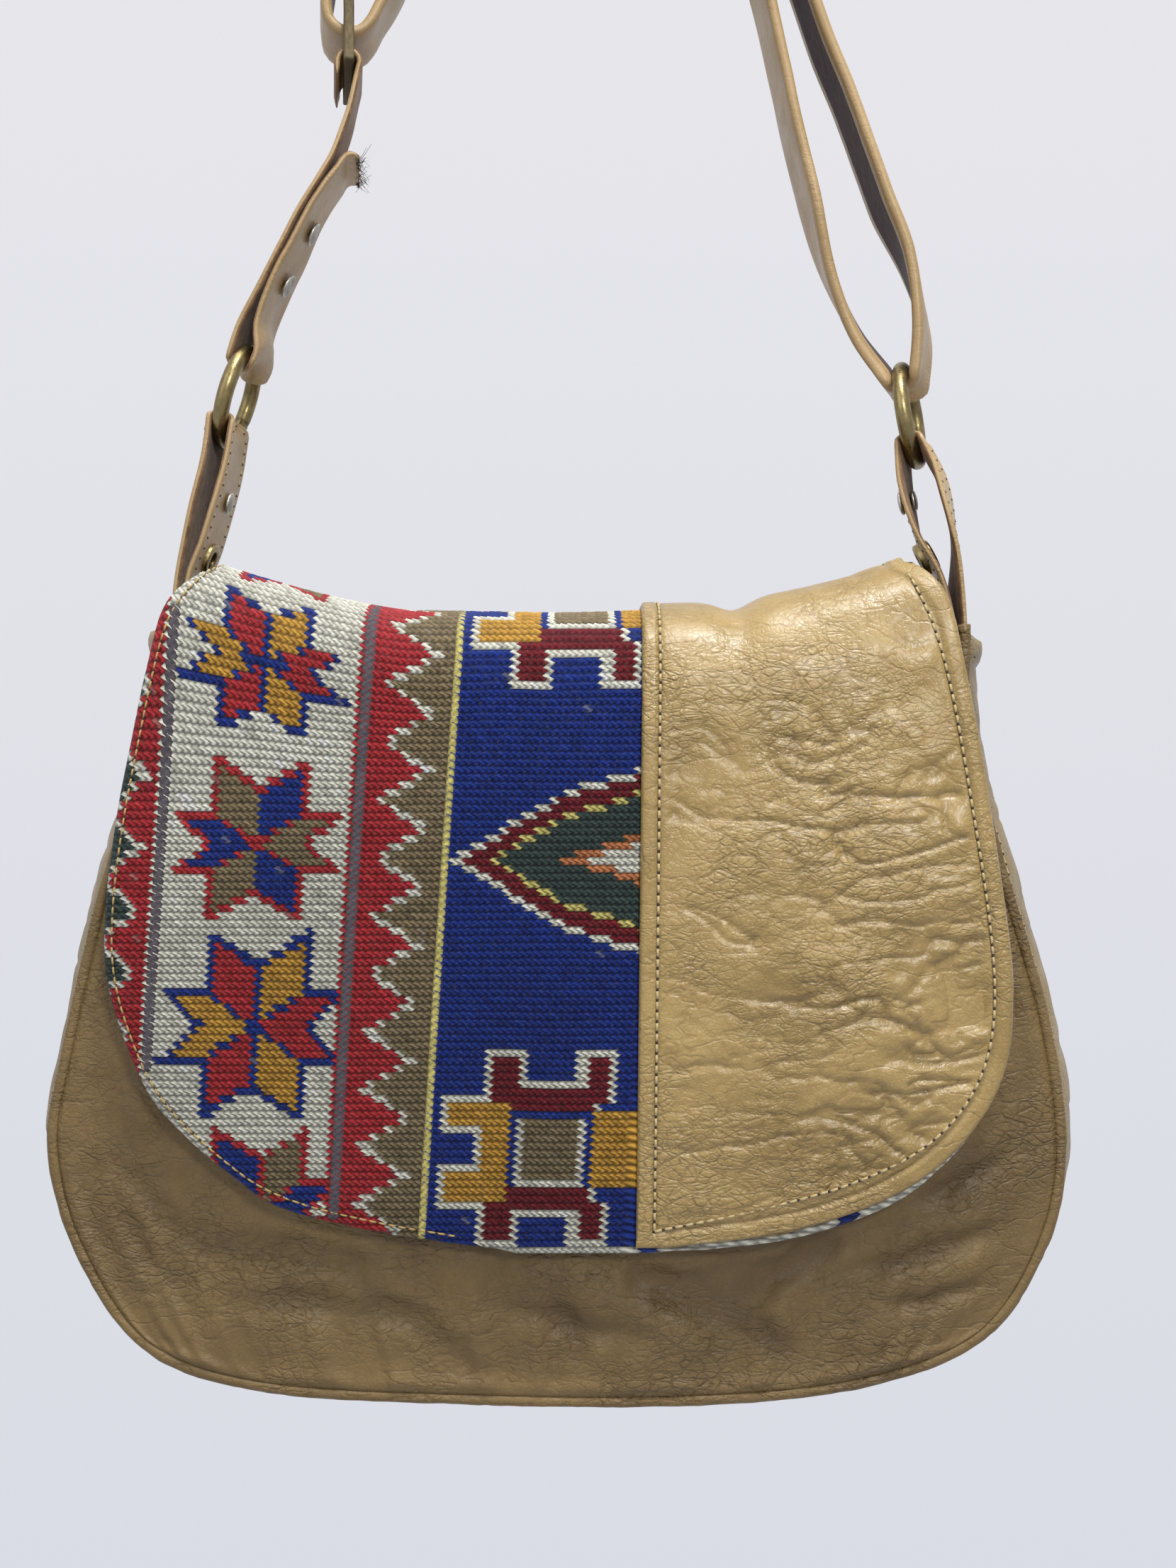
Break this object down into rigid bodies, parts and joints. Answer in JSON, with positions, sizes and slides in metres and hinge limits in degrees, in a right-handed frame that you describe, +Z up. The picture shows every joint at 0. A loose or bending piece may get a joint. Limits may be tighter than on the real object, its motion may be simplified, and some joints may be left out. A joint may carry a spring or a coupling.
{
  "type": "kilim saddle bag",
  "caption": "Soft leather shoulder bag with a woven kilim flap, leather overlay, folded tabs, round rings and a doubled strap, hanging by its strap.",
  "frame": {"origin": "the point under the crown of the strap that a hook or a shoulder holds, in the middle of the strap's width", "axes": "+Z up along the hanging bag, +X to the right of the front, -Y the front with the flap"},
  "size_m": [0.3395, 0.102, 0.7029],
  "materials": {
    "bag_leather": "grained tan leather, creased, light thread",
    "strap_leather": "tan leather with raw brown edges and inner face",
    "lining_cloth": "plain brown cloth",
    "kilim_wool": "handwoven wool in bands of madder, ivory, indigo, khaki and straw",
    "antique_brass": "dark antique brass, dull"
  },
  "bodies": {
    "root": {"front_panel": "bag_leather", "back_panel": "bag_leather", "gusset": "bag_leather", "front_piping": "bag_leather", "back_piping": "bag_leather", "lining": "lining_cloth", "snap_socket": "antique_brass", "long_strap": "strap_leather", "short_strap": "strap_leather", "strap_rivet_1": "antique_brass", "strap_rivet_2": "antique_brass", "slider": "antique_brass", "tab_left": "strap_leather", "tab_right": "strap_leather", "tab_rivet_left": "antique_brass", "tab_rivet_right": "antique_brass", "tab_eyelet_left": "antique_brass", "tab_eyelet_right": "antique_brass"},
    "flap": {"flap_backing": "lining_cloth", "flap_kilim": "kilim_wool", "flap_leather": "bag_leather", "snap_stud": "antique_brass"},
    "ring_left": {"ring_left": "antique_brass"},
    "ring_right": {"ring_right": "antique_brass"}
  },
  "joints": [
    {"name": "flap_hinge", "type": "hinge", "parent": "root", "child": "flap", "pos_m": [-0.004, 0.036, -0.4502], "axis": [-1, 0, 0], "range_deg": [0, 28]},
    {"name": "ring_left_spin", "type": "hinge", "parent": "root", "child": "ring_left", "pos_m": [-0.1125, 0, -0.3597], "axis": [0.9511, 0, -0.309], "continuous": true},
    {"name": "ring_right_spin", "type": "hinge", "parent": "root", "child": "ring_right", "pos_m": [0.1138, 0, -0.3661], "axis": [0.9305, -0.3387, 0.1392], "continuous": true}
  ]
}
